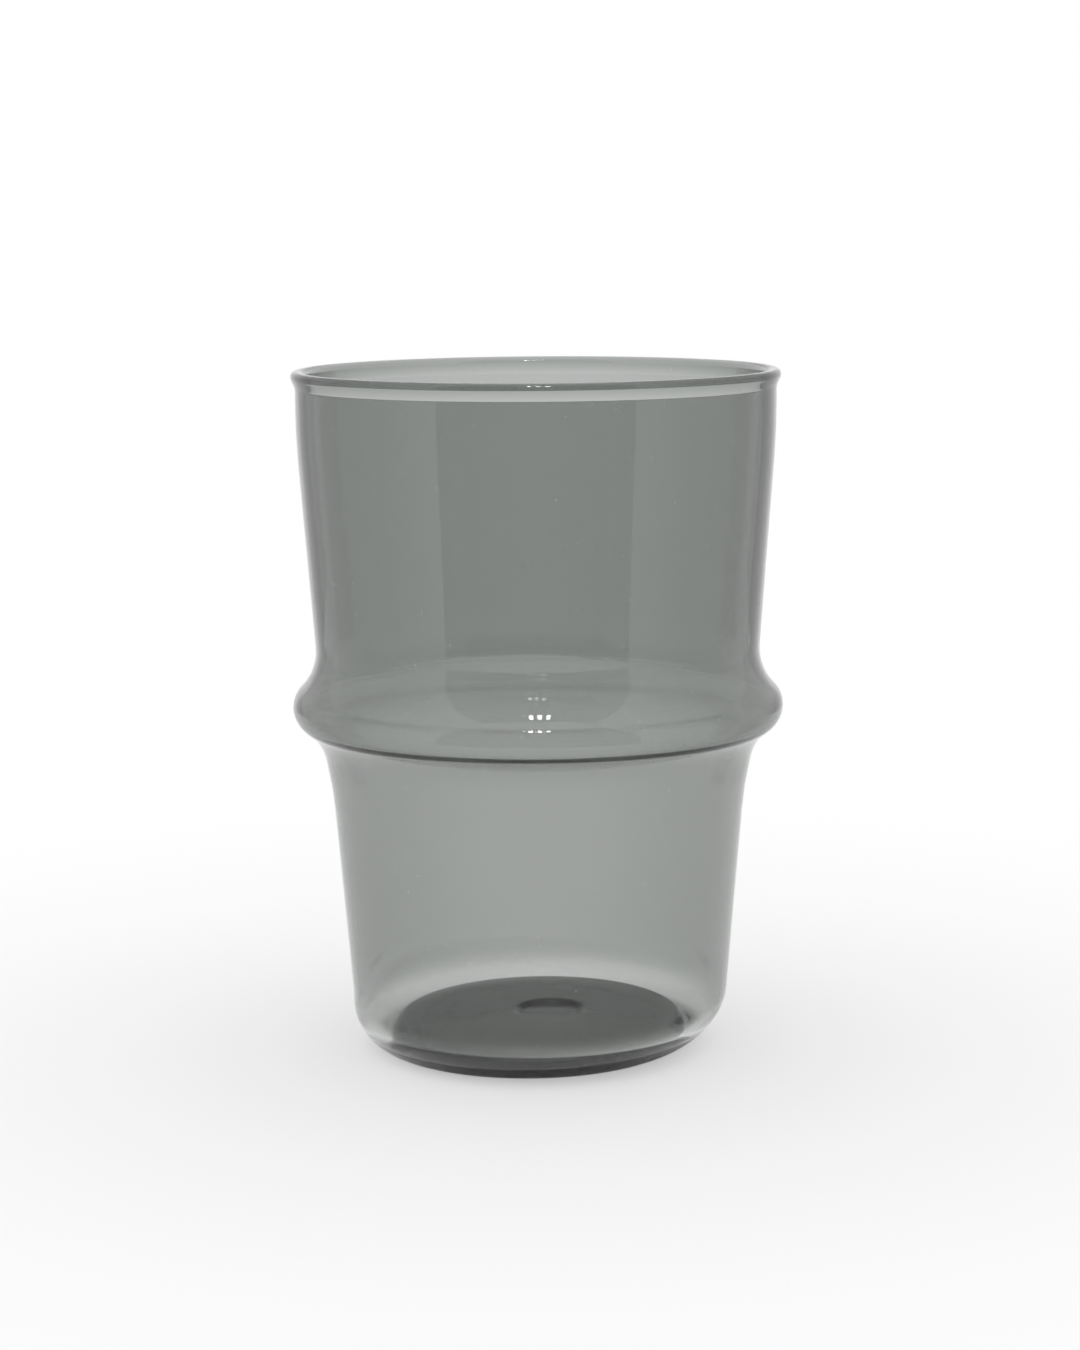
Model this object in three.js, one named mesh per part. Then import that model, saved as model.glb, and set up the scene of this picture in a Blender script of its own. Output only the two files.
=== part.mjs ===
// A blown glass tumbler in one piece: a flared upper body and a tapered lower body that meet in a hollow ring.
// Millimetres, +Z up, with the origin at the middle of the foot, on the table.
import * as THREE from "three";

// Overall
const height = 112.8;
const rimRadius = 40;

// Fire-polished lip
const lipHeight = 2.8;
const lipRound = 1.1;
const lipBlend = 1.6;

// Upper body: an open cone that turns upright in a collar under the lip
const collarRadius = 39.3;
const collarDrop = 10.2; // the cone ends this far below the lip
const collarRound = 133;
const waistRadius = 36; // the cone carried down to the ring's widest level
const waistRound = 9.4;

// Ring: its rounded edge, and the slopes of its shoulder and underside against the level
const ringRadius = 40.6;
const ringHeight = 57.5;
const ringRound = 4.1;
const shoulderSlope = 46;
const undersideSlope = 35;

// Lower body: a steep cone that flares under the ring
const creaseRadius = 36.1; // where the flare and the underside of the ring would meet
const creaseRound = 8.4;
const neckRadius = 34.3;
const neckDrop = 13.3; // the flare starts this far below the ring's widest level
const neckRound = 60;
const footRadius = 30.7; // the cone carried down to the table
const footRound = 9.6;

// Glass thickness
const upperWall = 1.6;
const ringWall = 1.4;
const lowerWall = 1.2;

// Base: a level floor, the kick pushed up into its underside, and the pip sunk in the middle of the floor
const floorLevel = 4.2; // above the table
const cornerRound = 4.6; // inside the foot
const kickRadius = 20;
const kickHeight = 2.2;
const pipRadius = 6;
const pipDepth = 0.8;
const pipEdge = 1.3; // width of the pip's sloping edge
const pipRound = 1.2;

// Facets
const sides = 60;
const arcStep = 16; // degrees of turn for one facet of a rounded corner
const kickSteps = 4;

const radians = THREE.MathUtils.degToRad;
const point = (across, up) => new THREE.Vector2(across, up);
const corner = (at, round = 0) => ({ at, round });
const heading = (from, to) => to.clone().sub(from).normalize();

// A line through two points, moved to its left by the thickness of the glass.
function inset(from, to, thickness) {
  const along = heading(from, to);
  const shift = point(-along.y, along.x).multiplyScalar(thickness);
  return { from: from.clone().add(shift), to: to.clone().add(shift) };
}

// The point where two lines cross.
function meet(first, second) {
  const a = heading(first.from, first.to);
  const b = heading(second.from, second.to);
  const travel = second.from.clone().sub(first.from).cross(b) / a.cross(b);
  return first.from.clone().addScaledVector(a, travel);
}

// An outline whose corners are rounded by arcs. Arcs that share a straight stretch are eased to fit its length.
function roundOutline(corners) {
  const turns = corners.map(({ at }, i) => {
    const last = i === 0 || i === corners.length - 1;
    if (last) return 0;
    const arriving = heading(corners[i - 1].at, at);
    const leaving = heading(at, corners[i + 1].at);
    return Math.atan2(arriving.cross(leaving), arriving.dot(leaving));
  });
  const reaches = corners.map(({ round }, i) => round * Math.tan(Math.abs(turns[i]) / 2));
  const easing = corners.slice(1).map(({ at }, i) => {
    const wanted = reaches[i] + reaches[i + 1];
    return wanted > 0 ? Math.min(1, at.distanceTo(corners[i].at) / wanted) : 1;
  });
  return corners.flatMap(({ at, round }, i) => {
    if (!round || !turns[i]) return [at];
    const ease = Math.min(easing[i - 1], easing[i]);
    const arriving = heading(corners[i - 1].at, at);
    const start = at.clone().addScaledVector(arriving, -reaches[i] * ease);
    const toCentre = point(-arriving.y, arriving.x).multiplyScalar(Math.sign(turns[i]) * round * ease);
    const centre = start.clone().add(toCentre);
    const facets = Math.max(2, Math.ceil(Math.abs(turns[i]) / radians(arcStep)));
    return Array.from({ length: facets + 1 }, (_, k) => start.clone().rotateAround(centre, (turns[i] * k) / facets));
  });
}

// Kick: a shallow dome
const kickCurve = (kickRadius ** 2 + kickHeight ** 2) / (2 * kickHeight);
const kickPoint = (across) => point(across, Math.sqrt(kickCurve ** 2 - across ** 2) - kickCurve + kickHeight);

// Ring: lines that touch its rounded edge above and below
const ringCentre = point(ringRadius - ringRound, ringHeight);
const touching = (degrees) => ringCentre.clone().add(point(ringRound, 0).rotateAround(point(0, 0), radians(degrees)));
const shoulderTouch = touching(90 - shoulderSlope);
const undersideTouch = touching(undersideSlope - 90);
const undersideDrop = (undersideTouch.x - creaseRadius) * Math.tan(radians(undersideSlope));

// Corners of the outside, from the foot up
const foot = point(footRadius, 0);
const neck = point(neckRadius, ringHeight - neckDrop);
const crease = point(creaseRadius, undersideTouch.y - undersideDrop);
const shoulderAim = point(-Math.cos(radians(shoulderSlope)), Math.sin(radians(shoulderSlope)));
const shoulder = { from: shoulderTouch, to: shoulderTouch.clone().add(shoulderAim) };
const collar = point(collarRadius, height - collarDrop);
const upperCone = { from: point(waistRadius, ringHeight), to: collar };
const ringEdge = meet({ from: crease, to: undersideTouch }, shoulder);
const waist = meet(shoulder, upperCone);
const lipStart = point(collarRadius, height - lipHeight);

// The same lines on the inside of the glass
const floor = { from: point(0, floorLevel), to: point(footRadius, floorLevel) };
const innerLower = inset(foot, neck, lowerWall);
const innerFlare = inset(neck, crease, lowerWall);
const innerUnderside = inset(crease, ringEdge, ringWall);
const innerShoulder = inset(ringEdge, waist, ringWall);
const innerUpper = inset(waist, collar, upperWall);
const innerCollar = inset(collar, lipStart, upperWall);

const outside = [
  ...Array.from({ length: kickSteps }, (_, i) => corner(kickPoint((kickRadius * i) / kickSteps))),
  corner(point(kickRadius, 0)),
  corner(foot, footRound),
  corner(neck, neckRound),
  corner(crease, creaseRound),
  corner(ringEdge, ringRound),
  corner(waist, waistRound),
  corner(collar, collarRound),
  corner(lipStart, lipBlend),
  corner(point(rimRadius, height - lipRound), lipBlend),
];
const lip = [
  corner(point(rimRadius, height), lipRound),
  corner(point(innerCollar.from.x, height), lipRound),
];
const inside = [
  corner(meet(innerUpper, innerCollar), collarRound - upperWall),
  corner(meet(innerShoulder, innerUpper), waistRound + ringWall),
  corner(meet(innerUnderside, innerShoulder), ringRound - ringWall),
  corner(meet(innerFlare, innerUnderside), creaseRound + lowerWall),
  corner(meet(innerLower, innerFlare), neckRound + lowerWall),
  corner(meet(floor, innerLower), cornerRound),
  corner(point(pipRadius, floorLevel), pipRound),
  corner(point(pipRadius - pipEdge, floorLevel - pipDepth), pipRound),
  corner(point(0, floorLevel - pipDepth)),
];

const smokeGlass = new THREE.MeshStandardMaterial({
  color: 0x6e736f,
  roughness: 0.04,
  metalness: 0,
  transparent: true,
  opacity: 0.45,
});

// The profile runs in the plane of X and Y and is turned about Y, so the mesh is then stood on its foot.
function glassBody() {
  const profile = roundOutline([...outside, ...lip, ...inside]);
  const mesh = new THREE.Mesh(new THREE.LatheGeometry(profile, sides), smokeGlass);
  mesh.name = "glass_body";
  mesh.rotation.x = Math.PI / 2;
  return mesh;
}

const tumbler = new THREE.Group();
tumbler.add(glassBody());

export default tumbler;
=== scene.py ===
import math

import bmesh
import bpy
from mathutils import Matrix, Vector, noise


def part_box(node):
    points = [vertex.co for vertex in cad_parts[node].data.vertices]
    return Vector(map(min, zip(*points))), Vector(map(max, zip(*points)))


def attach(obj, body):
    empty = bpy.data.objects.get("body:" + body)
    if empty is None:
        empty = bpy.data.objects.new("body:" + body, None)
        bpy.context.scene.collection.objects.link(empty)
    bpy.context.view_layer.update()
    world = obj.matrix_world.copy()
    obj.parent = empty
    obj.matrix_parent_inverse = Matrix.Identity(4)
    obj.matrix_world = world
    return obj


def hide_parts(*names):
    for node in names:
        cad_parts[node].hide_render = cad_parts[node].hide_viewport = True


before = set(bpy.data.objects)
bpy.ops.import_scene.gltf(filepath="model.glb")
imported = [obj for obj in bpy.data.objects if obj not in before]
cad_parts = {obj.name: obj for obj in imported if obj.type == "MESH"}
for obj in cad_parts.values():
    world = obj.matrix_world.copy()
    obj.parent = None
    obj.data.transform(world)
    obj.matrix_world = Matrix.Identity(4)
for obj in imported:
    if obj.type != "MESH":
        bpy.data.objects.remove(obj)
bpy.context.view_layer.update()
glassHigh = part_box("glass_body")[1]
print("frame loaded, glass is", round(glassHigh.z * 1000, 1), "mm tall")

tumbler = {  # sizes in metres, angles in degrees
    "height": glassHigh.z,
    "rimRadius": 0.0400,
    "lipHeight": 0.0028,
    "lipRound": 0.0011,
    "lipBlend": 0.0016,
    "collarRadius": 0.0393,
    "collarDrop": 0.0102,  # the upper cone turns upright this far below the lip
    "collarRound": 0.133,
    "waistRadius": 0.0360,  # the upper cone carried down to the ring
    "waistRound": 0.0094,
    "ringRadius": 0.0406,
    "ringHeight": 0.0575,
    "ringRound": 0.0041,
    "shoulderSlope": 46,
    "undersideSlope": 35,
    "creaseRadius": 0.0361,  # the flare and the underside of the ring would meet here
    "creaseRound": 0.0084,
    "neckRadius": 0.0343,
    "neckDrop": 0.0133,
    "neckRound": 0.060,
    "footRadius": 0.0307,  # the lower cone carried down to the table
    "footRound": 0.0096,
    "upperWall": 0.0016,
    "ringWall": 0.0014,
    "lowerWall": 0.0012,
    "floorLevel": 0.0046,
    "troughLevel": 0.0022,  # the fold of glass inside the foot
    "troughRound": 0.0076,
    "troughRadius": 0.0256,
    "stepRadius": 0.0236,  # the floor ends here and steps down into the fold
    "stepRound": 0.0022,
    "kickRadius": 0.0200,
    "kickHeight": 0.0022,
    "kickSteps": 14,
    "kickRound": 0.003,
    "pipRadius": 0.0060,
    "pipDepth": 0.0008,
    "pipEdge": 0.0013,
    "pipRound": 0.0012,
    "arcStep": 5,  # degrees of turn between two points of a rounded corner
    "straightStep": 0.0012,  # longest stretch of wall between two points
    "sides": 160,
    "weld": 1e-6,
}


def flat(across, up):
    return Vector((across, up))


def insetLine(start, end, wall):  # the line moved to its left by the thickness of the glass
    along = (end - start).normalized()
    shift = flat(-along.y, along.x) * wall
    return start + shift, end + shift


def meetLines(first, second):
    a = (first[1] - first[0]).normalized()
    b = (second[1] - second[0]).normalized()
    gap = second[0] - first[0]
    return first[0] + a * ((gap.x * b.y - gap.y * b.x) / (a.x * b.y - a.y * b.x))


def glassCorners(s):  # from the middle of the kick, up the outside, over the lip and down to the floor
    slope = math.radians(s["shoulderSlope"])
    under = math.radians(s["undersideSlope"])
    ringCentre = flat(s["ringRadius"] - s["ringRound"], s["ringHeight"])
    shoulderTouch = ringCentre + flat(math.sin(slope), math.cos(slope)) * s["ringRound"]
    underTouch = ringCentre + flat(math.sin(under), -math.cos(under)) * s["ringRound"]
    shoulder = (shoulderTouch, shoulderTouch + flat(-math.cos(slope), math.sin(slope)))

    foot = flat(s["footRadius"], 0)
    neck = flat(s["neckRadius"], s["ringHeight"] - s["neckDrop"])
    crease = flat(s["creaseRadius"], underTouch.y - (underTouch.x - s["creaseRadius"]) * math.tan(under))
    collar = flat(s["collarRadius"], s["height"] - s["collarDrop"])
    lipStart = flat(s["collarRadius"], s["height"] - s["lipHeight"])
    ringEdge = meetLines((crease, underTouch), shoulder)
    waist = meetLines(shoulder, (flat(s["waistRadius"], s["ringHeight"]), collar))

    trough = (flat(0, s["troughLevel"]), flat(1, s["troughLevel"]))
    inLower = insetLine(foot, neck, s["lowerWall"])
    inFlare = insetLine(neck, crease, s["lowerWall"])
    inUnder = insetLine(crease, ringEdge, s["ringWall"])
    inShoulder = insetLine(ringEdge, waist, s["ringWall"])
    inUpper = insetLine(waist, collar, s["upperWall"])
    inCollar = insetLine(collar, lipStart, s["upperWall"])

    curve = (s["kickRadius"] ** 2 + s["kickHeight"] ** 2) / (2 * s["kickHeight"])
    across = [s["kickRadius"] * i / s["kickSteps"] for i in range(s["kickSteps"])]
    kick = [(flat(r, math.sqrt(curve ** 2 - r ** 2) - curve + s["kickHeight"]), 0) for r in across]
    outside = [
        (flat(s["kickRadius"], 0), s["kickRound"]),
        (foot, s["footRound"]),
        (neck, s["neckRound"]),
        (crease, s["creaseRound"]),
        (ringEdge, s["ringRound"]),
        (waist, s["waistRound"]),
        (collar, s["collarRound"]),
        (lipStart, s["lipBlend"]),
        (flat(s["rimRadius"], s["height"] - s["lipRound"]), s["lipBlend"]),
    ]
    lip = [
        (flat(s["rimRadius"], s["height"]), s["lipRound"]),
        (flat(inCollar[0].x, s["height"]), s["lipRound"]),
    ]
    inside = [
        (meetLines(inUpper, inCollar), s["collarRound"] - s["upperWall"]),
        (meetLines(inShoulder, inUpper), s["waistRound"] + s["ringWall"]),
        (meetLines(inUnder, inShoulder), s["ringRound"] - s["ringWall"]),
        (meetLines(inFlare, inUnder), s["creaseRound"] + s["lowerWall"]),
        (meetLines(inLower, inFlare), s["neckRound"] + s["lowerWall"]),
        (meetLines(trough, inLower), s["troughRound"]),
        (flat(s["troughRadius"], s["troughLevel"]), s["stepRound"]),
        (flat(s["stepRadius"], s["floorLevel"]), s["stepRound"]),
        (flat(s["pipRadius"], s["floorLevel"]), s["pipRound"]),
        (flat(s["pipRadius"] - s["pipEdge"], s["floorLevel"] - s["pipDepth"]), s["pipRound"]),
        (flat(0, s["floorLevel"] - s["pipDepth"]), 0),
    ]
    return kick + outside + lip + inside


def walkTo(bm, tip, place):  # draws a straight stretch
    made = bmesh.ops.extrude_vert_indiv(bm, verts=[tip])["verts"][0]
    bmesh.ops.translate(bm, verts=[made], vec=Vector((place.x, 0, place.y)) - made.co)
    return made


def turnRound(bm, tip, centre, angle, stepSize):  # draws an arc by spinning the tip
    steps = max(2, math.ceil(abs(math.degrees(angle)) / stepSize))
    arc = bmesh.ops.spin(bm, geom=[tip], cent=(centre.x, 0, centre.y), axis=(0, -1, 0), dvec=(0, 0, 0),
                         angle=angle, steps=steps, use_merge=False, use_duplicate=False)
    return [v for v in arc["geom_last"] if isinstance(v, bmesh.types.BMVert)][0]


def drawSection(bm, corners, stepSize):  # rounded corners that share a short stretch are eased to fit it
    spots = [spot for spot, bend in corners]
    stretches = [b - a for a, b in zip(spots, spots[1:])]
    headings = [stretch.normalized() for stretch in stretches]
    turns = [math.atan2(a.x * b.y - a.y * b.x, a.dot(b)) for a, b in zip(headings, headings[1:])]
    turns = [0] + turns + [0]
    reaches = [bend * math.tan(abs(turn) / 2) for (spot, bend), turn in zip(corners, turns)]
    shares = [st.length / max(a + b, st.length) for st, a, b in zip(stretches, reaches, reaches[1:])]
    tip = bm.verts.new((spots[0].x, 0, spots[0].y))
    for i in range(1, len(corners)):
        ease = min(shares[i - 1:i + 1])
        ahead = headings[i - 1]
        tip = walkTo(bm, tip, spots[i] - ahead * reaches[i] * ease)
        if reaches[i] > 0:
            bend = math.copysign(corners[i][1] * ease, turns[i])
            centre = flat(tip.co.x, tip.co.z) + flat(-ahead.y, ahead.x) * bend
            tip = turnRound(bm, tip, centre, turns[i], stepSize)


handWork = {
    "footFuller": 0.0003,  # the rounding of the foot stands out this much more all round
    "footLean": 0.0008,  # and this much more on the left, less on the right
    "footTop": 0.0088,
    "footEase": (0.020, 0.026),  # radii over which that sets in
    "pipShift": (0.0017, 0.0020, 0),
    "pipReach": (0.0065, 0.018),
    "waveDepth": 0.00006,
    "waveScale": 26,
    "waveRadius": 0.022,  # the base inside it keeps still
    "waveStart": (0.004, 0.020),
    "waveEnd": (0.105, 0.110),
}


def smooth(low, high, value):
    t = min(max((value - low) / (high - low), 0), 1)
    return t * t * (3 - 2 * t)


def blowByHand(bm, s, h):  # what makes this glass hand blown: an uneven foot, a pip off centre, slight waves
    midBase = (s["kickHeight"] + s["floorLevel"] - s["pipDepth"]) / 2
    for v in bm.verts:
        out = Vector((v.co.x, v.co.y, 0))
        r = out.length
        out.normalize()
        if v.co.z > midBase and r < s["stepRadius"]:
            near = 1 - smooth(*h["pipReach"], r)
            v.co += Vector(h["pipShift"]) * near
        if v.co.z < h["footTop"] and r > h["footEase"][0]:
            t = math.sqrt(max(v.co.z, 0) / h["footTop"])
            swell = 4 * t * (1 - t) * smooth(*h["footEase"], r)
            amount = (h["footFuller"] - h["footLean"] * out.x) * swell
            v.co += (out - Vector((0, 0, 1))) * amount / math.sqrt(2)
            v.co.z = max(v.co.z, 0)
        if r > h["waveRadius"]:
            rise = smooth(*h["waveStart"], v.co.z) * (1 - smooth(*h["waveEnd"], v.co.z))
            v.co += out * noise.noise(v.co * h["waveScale"]) * h["waveDepth"] * rise


def toObject(bm, name):
    mesh = bpy.data.meshes.new(name)
    bm.to_mesh(mesh)
    bm.free()
    made = bpy.data.objects.new(name, mesh)
    bpy.context.scene.collection.objects.link(made)
    return made


def spinGlass(s, h):
    bm = bmesh.new()
    drawSection(bm, glassCorners(s), s["arcStep"])
    bmesh.ops.remove_doubles(bm, verts=bm.verts, dist=s["weld"])
    for edge in list(bm.edges):
        cuts = math.ceil(edge.calc_length() / s["straightStep"]) - 1
        if cuts > 0:
            bmesh.ops.subdivide_edges(bm, edges=[edge], cuts=cuts)
    print("section drawn with", len(bm.verts), "points")
    bmesh.ops.spin(bm, geom=bm.verts[:] + bm.edges[:], cent=(0, 0, 0), axis=(0, 0, 1), dvec=(0, 0, 0),
                   angle=math.tau, steps=s["sides"], use_merge=True, use_duplicate=False)
    bmesh.ops.remove_doubles(bm, verts=bm.verts, dist=s["weld"])
    bmesh.ops.recalc_face_normals(bm, faces=bm.faces)
    blowByHand(bm, s, h)
    for face in bm.faces:
        face.smooth = True
    return toObject(bm, "smoke_tumbler")


smokeGlass = {
    "ior": 1.47,
    "absorbColor": (0.489, 0.512, 0.493, 1),
    "absorbDensity": 860,
    "roughness": 0.0,
    "filmRoughness": 0.012,
    "filmScale": 70,
    "filmDetail": 3,
    "filmEdges": (0.45, 0.75),
    "waveScale": 42,
    "waveDetail": 1.5,
    "waveStretch": 0.35,  # waves run long up the glass, as it was drawn
    "waveDepth": 0.00010,
    "dustScale": 330,
    "dustEdges": (0.025, 0.050),  # a speck is rough within the first and gone at the second
    "dustRoughness": 0.4,
}


def addNode(tree, kind, **values):
    node = tree.nodes.new(kind)
    for name, value in values.items():
        setattr(node, name, value)
    return node


def makeSmokeGlass(g):
    mat = bpy.data.materials.new("smokeGlass")
    mat.use_nodes = True
    tree = mat.node_tree
    tree.nodes.clear()
    link = tree.links.new
    out = addNode(tree, "ShaderNodeOutputMaterial")
    bsdf = addNode(tree, "ShaderNodeBsdfPrincipled")
    bsdf.inputs["Base Color"].default_value = (1, 1, 1, 1)
    bsdf.inputs["Transmission Weight"].default_value = 1
    bsdf.inputs["IOR"].default_value = g["ior"]
    link(bsdf.outputs["BSDF"], out.inputs["Surface"])

    smoke = addNode(tree, "ShaderNodeVolumeAbsorption")
    smoke.inputs["Color"].default_value = g["absorbColor"]
    smoke.inputs["Density"].default_value = g["absorbDensity"]
    link(smoke.outputs["Volume"], out.inputs["Volume"])

    coords = addNode(tree, "ShaderNodeTexCoord")
    stretch = addNode(tree, "ShaderNodeMapping")
    stretch.inputs["Scale"].default_value = (1, 1, g["waveStretch"])
    link(coords.outputs["Object"], stretch.inputs["Vector"])
    waves = addNode(tree, "ShaderNodeTexNoise")
    waves.inputs["Scale"].default_value = g["waveScale"]
    waves.inputs["Detail"].default_value = g["waveDetail"]
    link(stretch.outputs["Vector"], waves.inputs["Vector"])
    bump = addNode(tree, "ShaderNodeBump")
    bump.inputs["Strength"].default_value = 1
    bump.inputs["Distance"].default_value = g["waveDepth"]
    link(waves.outputs["Fac"], bump.inputs["Height"])
    link(bump.outputs["Normal"], bsdf.inputs["Normal"])

    film = addNode(tree, "ShaderNodeTexNoise")  # a faint film of handling marks
    film.inputs["Scale"].default_value = g["filmScale"]
    film.inputs["Detail"].default_value = g["filmDetail"]
    link(coords.outputs["Object"], film.inputs["Vector"])
    filmAmount = addNode(tree, "ShaderNodeMapRange", interpolation_type="SMOOTHSTEP")
    filmAmount.inputs["From Min"].default_value = g["filmEdges"][0]
    filmAmount.inputs["From Max"].default_value = g["filmEdges"][1]
    filmAmount.inputs["To Min"].default_value = g["roughness"]
    filmAmount.inputs["To Max"].default_value = g["filmRoughness"]
    link(film.outputs["Fac"], filmAmount.inputs["Value"])

    dust = addNode(tree, "ShaderNodeTexVoronoi", feature="F1")
    dust.inputs["Scale"].default_value = g["dustScale"]
    link(coords.outputs["Object"], dust.inputs["Vector"])
    speck = addNode(tree, "ShaderNodeMapRange", interpolation_type="SMOOTHSTEP")
    speck.inputs["From Min"].default_value = g["dustEdges"][0]
    speck.inputs["From Max"].default_value = g["dustEdges"][1]
    speck.inputs["To Min"].default_value = g["dustRoughness"]
    speck.inputs["To Max"].default_value = 0
    link(dust.outputs["Distance"], speck.inputs["Value"])
    both = addNode(tree, "ShaderNodeMath", operation="MAXIMUM")
    link(filmAmount.outputs["Result"], both.inputs[0])
    link(speck.outputs["Result"], both.inputs[1])
    link(both.outputs["Value"], bsdf.inputs["Roughness"])
    return mat


body = spinGlass(tumbler, handWork)
body.data.materials.append(makeSmokeGlass(smokeGlass))
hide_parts("glass_body")
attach(body, "root")
print("tumbler spun with", len(body.data.polygons), "faces")

paperFloor = {
    "size": 6.0,
    "gap": 0.0002,  # keeps the foot clear of the floor's plane
    "color": (0.92, 0.92, 0.92, 1),
    "shadowReach": (0.05, 0.22),  # the paper's shading fades into plain white between these distances
    "shadowShare": 0.55,  # how much of the paper's own shading shows near the glass
    "contactMiddle": (0, -0.003, 0),  # the dark under the foot lies a little to the front
    "contactEdge": (0.0240, 0.0290),  # light gets under the foot between these distances
    "throughShare": 0.4,  # how much of the paper's shading shows through the glass beyond them
}


def layFloor(f):
    bm = bmesh.new()
    bmesh.ops.create_grid(bm, x_segments=1, y_segments=1, size=f["size"] / 2)
    bmesh.ops.translate(bm, verts=bm.verts, vec=(0, 0, -f["gap"]))
    floor = toObject(bm, "paper_floor")

    mat = bpy.data.materials.new("palePaper")
    mat.use_nodes = True
    tree = mat.node_tree
    tree.nodes.clear()
    link = tree.links.new
    paper = addNode(tree, "ShaderNodeBsdfDiffuse")
    paper.inputs["Color"].default_value = f["color"]
    white = addNode(tree, "ShaderNodeEmission")
    coords = addNode(tree, "ShaderNodeTexCoord")
    away = addNode(tree, "ShaderNodeVectorMath", operation="DISTANCE")
    away.inputs[1].default_value = f["contactMiddle"]
    link(coords.outputs["Object"], away.inputs[0])
    path = addNode(tree, "ShaderNodeLightPath")
    through = addNode(tree, "ShaderNodeMath", operation="MAXIMUM")
    link(path.outputs["Is Glossy Ray"], through.inputs[0])
    link(path.outputs["Is Transmission Ray"], through.inputs[1])
    under = addNode(tree, "ShaderNodeMapRange", interpolation_type="SMOOTHSTEP")  # the foot keeps light out
    under.inputs["From Min"].default_value = f["contactEdge"][0]
    under.inputs["From Max"].default_value = f["contactEdge"][1]
    under.inputs["To Min"].default_value = 1
    under.inputs["To Max"].default_value = f["throughShare"]
    link(away.outputs["Value"], under.inputs["Value"])
    fade = addNode(tree, "ShaderNodeMapRange", interpolation_type="SMOOTHSTEP")
    fade.inputs["From Min"].default_value = f["shadowReach"][0]
    fade.inputs["From Max"].default_value = f["shadowReach"][1]
    fade.inputs["To Min"].default_value = f["shadowShare"]
    fade.inputs["To Max"].default_value = 0
    link(away.outputs["Value"], fade.inputs["Value"])
    share = addNode(tree, "ShaderNodeMix", data_type="FLOAT")
    link(through.outputs["Value"], share.inputs["Factor"])
    link(fade.outputs["Result"], share.inputs["A"])
    link(under.outputs["Result"], share.inputs["B"])
    mix = addNode(tree, "ShaderNodeMixShader")
    link(share.outputs["Result"], mix.inputs["Fac"])
    link(white.outputs["Emission"], mix.inputs[1])
    link(paper.outputs["BSDF"], mix.inputs[2])
    out = addNode(tree, "ShaderNodeOutputMaterial")
    link(mix.outputs["Shader"], out.inputs["Surface"])
    floor.data.materials.append(mat)


def addSheet(bm, middle, width, height):  # an upright sheet that faces the glass
    stand = Matrix.Rotation(math.radians(90), 4, "X")
    size = Matrix.Diagonal((width, height, 1, 1))
    bmesh.ops.create_grid(bm, x_segments=1, y_segments=1, size=0.5,
                          matrix=Matrix.Translation(middle) @ stand @ size)


def hidePanel(panel, name, brightness, reflected):  # seen only in the gloss of the glass, or only through it
    mat = bpy.data.materials.new(name)
    mat.use_nodes = True
    tree = mat.node_tree
    tree.nodes.clear()
    glow = addNode(tree, "ShaderNodeEmission")
    glow.inputs["Strength"].default_value = brightness
    out = addNode(tree, "ShaderNodeOutputMaterial")
    tree.links.new(glow.outputs["Emission"], out.inputs["Surface"])
    panel.data.materials.append(mat)
    panel.visible_camera = False
    panel.visible_diffuse = False
    panel.visible_glossy = reflected
    panel.visible_transmission = not reflected
    panel.visible_shadow = False


darkFront = {
    "distance": 0.27,  # the mouth of the light tent stands round the front of the glass
    "height": 0.60,
    "frameSpread": 88,
    "frameBrightness": 0.12,
    "mouthSpread": 64,
    "mouthBrightness": 0.0,
    "mouthGap": 0.002,  # the mouth hangs this much nearer than its frame
    "steps": 24,
}


def hangFront(d):
    panels = (
        ("tentFrame", d["frameSpread"], d["frameBrightness"], 0),
        ("tentMouth", d["mouthSpread"], d["mouthBrightness"], d["mouthGap"]),
    )
    for name, spread, brightness, gap in panels:
        bm = bmesh.new()
        post = bm.verts.new((0, gap - d["distance"], 0))
        turn = Matrix.Rotation(math.radians(-spread / 2), 3, "Z")
        bmesh.ops.rotate(bm, verts=[post], cent=(0, 0, 0), matrix=turn)
        top = bmesh.ops.extrude_vert_indiv(bm, verts=[post])
        bmesh.ops.translate(bm, verts=top["verts"], vec=(0, 0, d["height"]))
        bmesh.ops.spin(bm, geom=bm.verts[:] + bm.edges[:], cent=(0, 0, 0), axis=(0, 0, 1), dvec=(0, 0, 0),
                       angle=math.radians(spread), steps=d["steps"], use_merge=False, use_duplicate=False)
        hidePanel(toObject(bm, name), name, brightness, True)


lampBar = {
    "distance": 0.265,
    "height": 0.43,  # of the lamps' middles
    "left": -0.17,
    "right": 0.23,
    "count": 17,
    "lampWidth": 0.012,
    "lampHeight": 0.12,
    "brightness": 30,
}


def hangLamps(row):  # small lamps over the mouth of the tent
    bm = bmesh.new()
    for i in range(row["count"]):
        x = row["left"] + (row["right"] - row["left"]) * i / (row["count"] - 1)
        addSheet(bm, (x, -row["distance"], row["height"]), row["lampWidth"], row["lampHeight"])
    hidePanel(toObject(bm, "lampBar"), "lampBar", row["brightness"], True)


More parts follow.
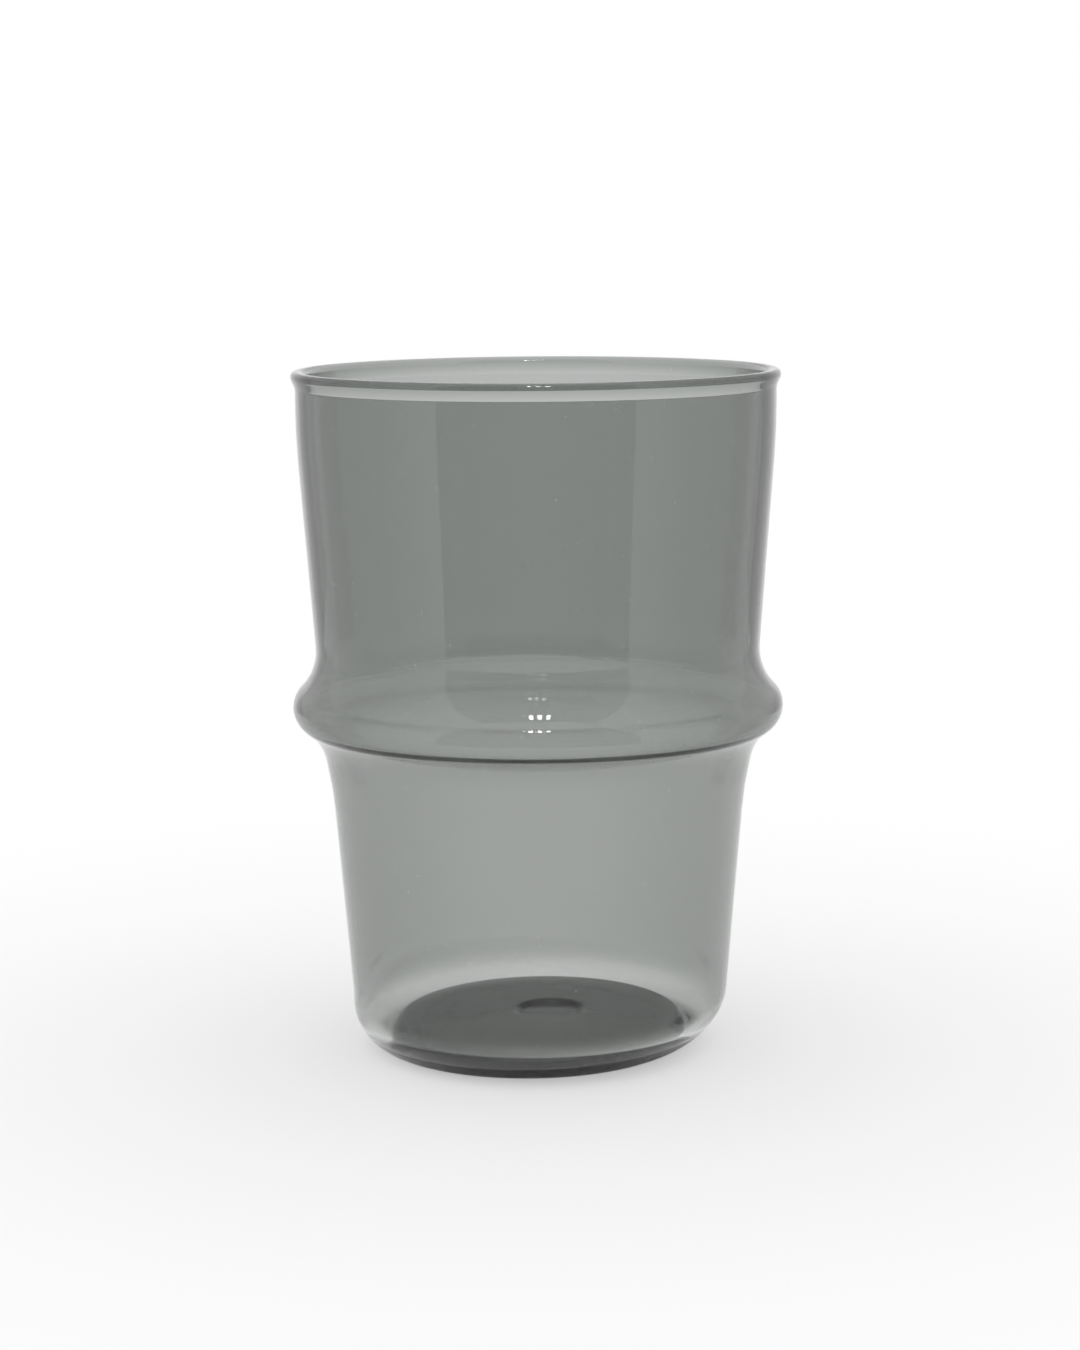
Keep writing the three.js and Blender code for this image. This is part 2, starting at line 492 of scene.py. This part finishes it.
sideFlags = {
    "behind": 0.30,
    "inner": (-0.150, 0.135),  # their edges towards the glass, left and right
    "outer": 0.36,
    "height": 0.60,
    "brightness": 0.04,
}


def standFlags(s):  # black flags out of the frame behind the glass draw its edges dark
    for name, inner, side in (("leftFlag", s["inner"][0], -1), ("rightFlag", s["inner"][1], 1)):
        width = s["outer"] - abs(inner)
        bm = bmesh.new()
        addSheet(bm, (inner + side * width / 2, s["behind"], s["height"] / 2), width, s["height"])
        hidePanel(toObject(bm, name), name, s["brightness"], False)


sky = {
    "color": (1, 1, 1, 1),
    "strength": 1.0,
}


def hangSky(s):
    world = bpy.data.worlds.new("whiteTent")
    bpy.context.scene.world = world
    world.use_nodes = True
    tent = world.node_tree.nodes["Background"]
    tent.inputs["Color"].default_value = s["color"]
    tent.inputs["Strength"].default_value = s["strength"]


layFloor(paperFloor)
hangFront(darkFront)
hangLamps(lampBar)
standFlags(sideFlags)
hangSky(sky)
print("studio ready")

camera = {
    "place": (0, -0.47545, 0.13943),
    "pitch": 9.239,  # below level
    "yaw": -0.043,
    "roll": -0.409,
    "focalPixels": 2899.7,
    "longSidePixels": 1350,
    "sensor": 36,
    "clip": (0.01, 20),
}


def setCamera(c):
    data = bpy.data.cameras.new("photoCamera")
    data.sensor_width = c["sensor"]
    data.lens = c["focalPixels"] / c["longSidePixels"] * c["sensor"]
    data.clip_start, data.clip_end = c["clip"]
    eye = bpy.data.objects.new("photoCamera", data)
    yaw = Matrix.Rotation(math.radians(c["yaw"]), 4, "Z")
    pitch = Matrix.Rotation(math.radians(90 - c["pitch"]), 4, "X")
    roll = Matrix.Rotation(math.radians(c["roll"]), 4, "Z")
    eye.matrix_world = Matrix.Translation(c["place"]) @ yaw @ pitch @ roll
    bpy.context.scene.collection.objects.link(eye)
    bpy.context.scene.camera = eye


setCamera(camera)

scene = bpy.context.scene
scene.view_settings.view_transform = "Standard"
glassBounces = 32  # light crosses many walls of glass
scene.cycles.max_bounces = glassBounces
scene.cycles.transmission_bounces = glassBounces
scene.cycles.glossy_bounces = glassBounces // 2
